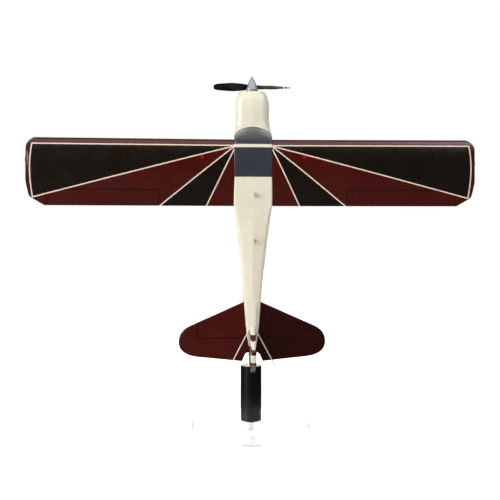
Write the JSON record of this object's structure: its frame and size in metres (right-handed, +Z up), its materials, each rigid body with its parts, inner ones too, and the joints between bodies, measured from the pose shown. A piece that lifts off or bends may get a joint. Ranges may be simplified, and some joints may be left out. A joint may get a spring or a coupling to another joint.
{
  "type": "propeller plane desk model",
  "caption": "Painted high-wing tail-wheel airplane model standing nose up on a round black post; swivels on its rod, with a spinning propeller and wheels.",
  "frame": {"origin": "centre of the stand's underside, on the post's axis", "axes": "+Z up the post, from the airplane's tail to its nose; +X to starboard; -Y is the airplane's top side"},
  "size_m": [0.4262, 0.12, 0.3547],
  "materials": {
    "cream_paint": "gloss cream enamel over carved wood",
    "maroon_paint": "gloss maroon and black-brown enamel over carved wood",
    "cream_trim": "gloss cream",
    "cream_struts": "gloss cream enamel",
    "bare_wood": "bare hardwood, inside the joints",
    "black_lacquer": "satin black lacquer on a turned post",
    "clear_base": "clear polished acrylic",
    "steel": "plain bright steel",
    "brass": "turned brass",
    "gear_paint": "gloss cream",
    "hub_metal": "turned, satin",
    "tyre": "matt black rubber",
    "propeller_black": "satin black with painted tip bands",
    "spinner_metal": "silver paint, satin",
    "exhaust_metal": "dull steel",
    "cap_red": "gloss red",
    "lens_red": "clear red",
    "lens_green": "pale green"
  },
  "bodies": {
    "stand": {"base_disc": "clear_base", "base_screw": "steel", "post": "black_lacquer", "post_bush": "brass"},
    "airplane": {"cowling": "cream_paint", "exhaust_pipes": "exhaust_metal", "fin_and_rudder": "maroon_paint", "front_antenna": "cream_trim", "fuselage": "cream_paint", "left_axle": "steel", "left_axle_nut": "steel", "left_front_strut": "cream_struts", "left_fuel_cap": "cap_red", "left_gear_leg": "gear_paint", "left_jury_struts": "cream_struts", "left_nav_light": "lens_red", "left_nav_whisker": "cream_trim", "left_rear_strut": "cream_struts", "left_tailplane": "maroon_paint", "left_wing": "maroon_paint", "nose_bush": "brass", "rear_antenna": "cream_trim", "right_axle": "steel", "right_axle_nut": "steel", "right_front_strut": "cream_struts", "right_fuel_cap": "cap_red", "right_gear_leg": "gear_paint", "right_jury_struts": "cream_struts", "right_nav_light": "lens_green", "right_nav_whisker": "cream_trim", "right_rear_strut": "cream_struts", "right_tailplane": "maroon_paint", "right_wing": "maroon_paint", "spar_dowels": "bare_wood", "stand_rod": "steel", "tail_dowel": "bare_wood", "tail_kingpin": "steel", "tail_spring": "steel"},
    "propeller_assembly": {"propeller": "propeller_black", "spinner": "spinner_metal", "spinner_backplate": "spinner_metal", "propeller_shaft": "steel"},
    "left_wheel": {"left_tyre": "tyre", "left_hub": "hub_metal"},
    "right_wheel": {"right_tyre": "tyre", "right_hub": "hub_metal"},
    "tail_caster": {"tail_fork": "gear_paint", "tail_axle": "steel"},
    "tail_wheel": {"tail_tyre": "tyre", "tail_hub": "hub_metal"}
  },
  "joints": [
    {"name": "airplane_swivel", "type": "hinge", "parent": "stand", "child": "airplane", "pos_m": [0, 0, 0.05], "axis": [0, 0, 1], "continuous": true},
    {"name": "propeller_spin", "type": "hinge", "parent": "airplane", "child": "propeller_assembly", "pos_m": [0, -0.02, 0.344], "axis": [0, 0, 1], "continuous": true},
    {"name": "left_wheel_spin", "type": "hinge", "parent": "airplane", "child": "left_wheel", "pos_m": [-0.04, 0.025, 0.2796], "axis": [1, 0, 0], "continuous": true},
    {"name": "right_wheel_spin", "type": "hinge", "parent": "airplane", "child": "right_wheel", "pos_m": [0.04, 0.025, 0.2796], "axis": [1, 0, 0], "continuous": true},
    {"name": "tail_caster_turn", "type": "hinge", "parent": "airplane", "child": "tail_caster", "pos_m": [0, -0.0085, 0.0835], "axis": [0, 1, 0], "range_deg": [-35, 35]},
    {"name": "tail_wheel_spin", "type": "hinge", "parent": "tail_caster", "child": "tail_wheel", "pos_m": [0, -0.0076, 0.0775], "axis": [1, 0, 0], "continuous": true}
  ]
}
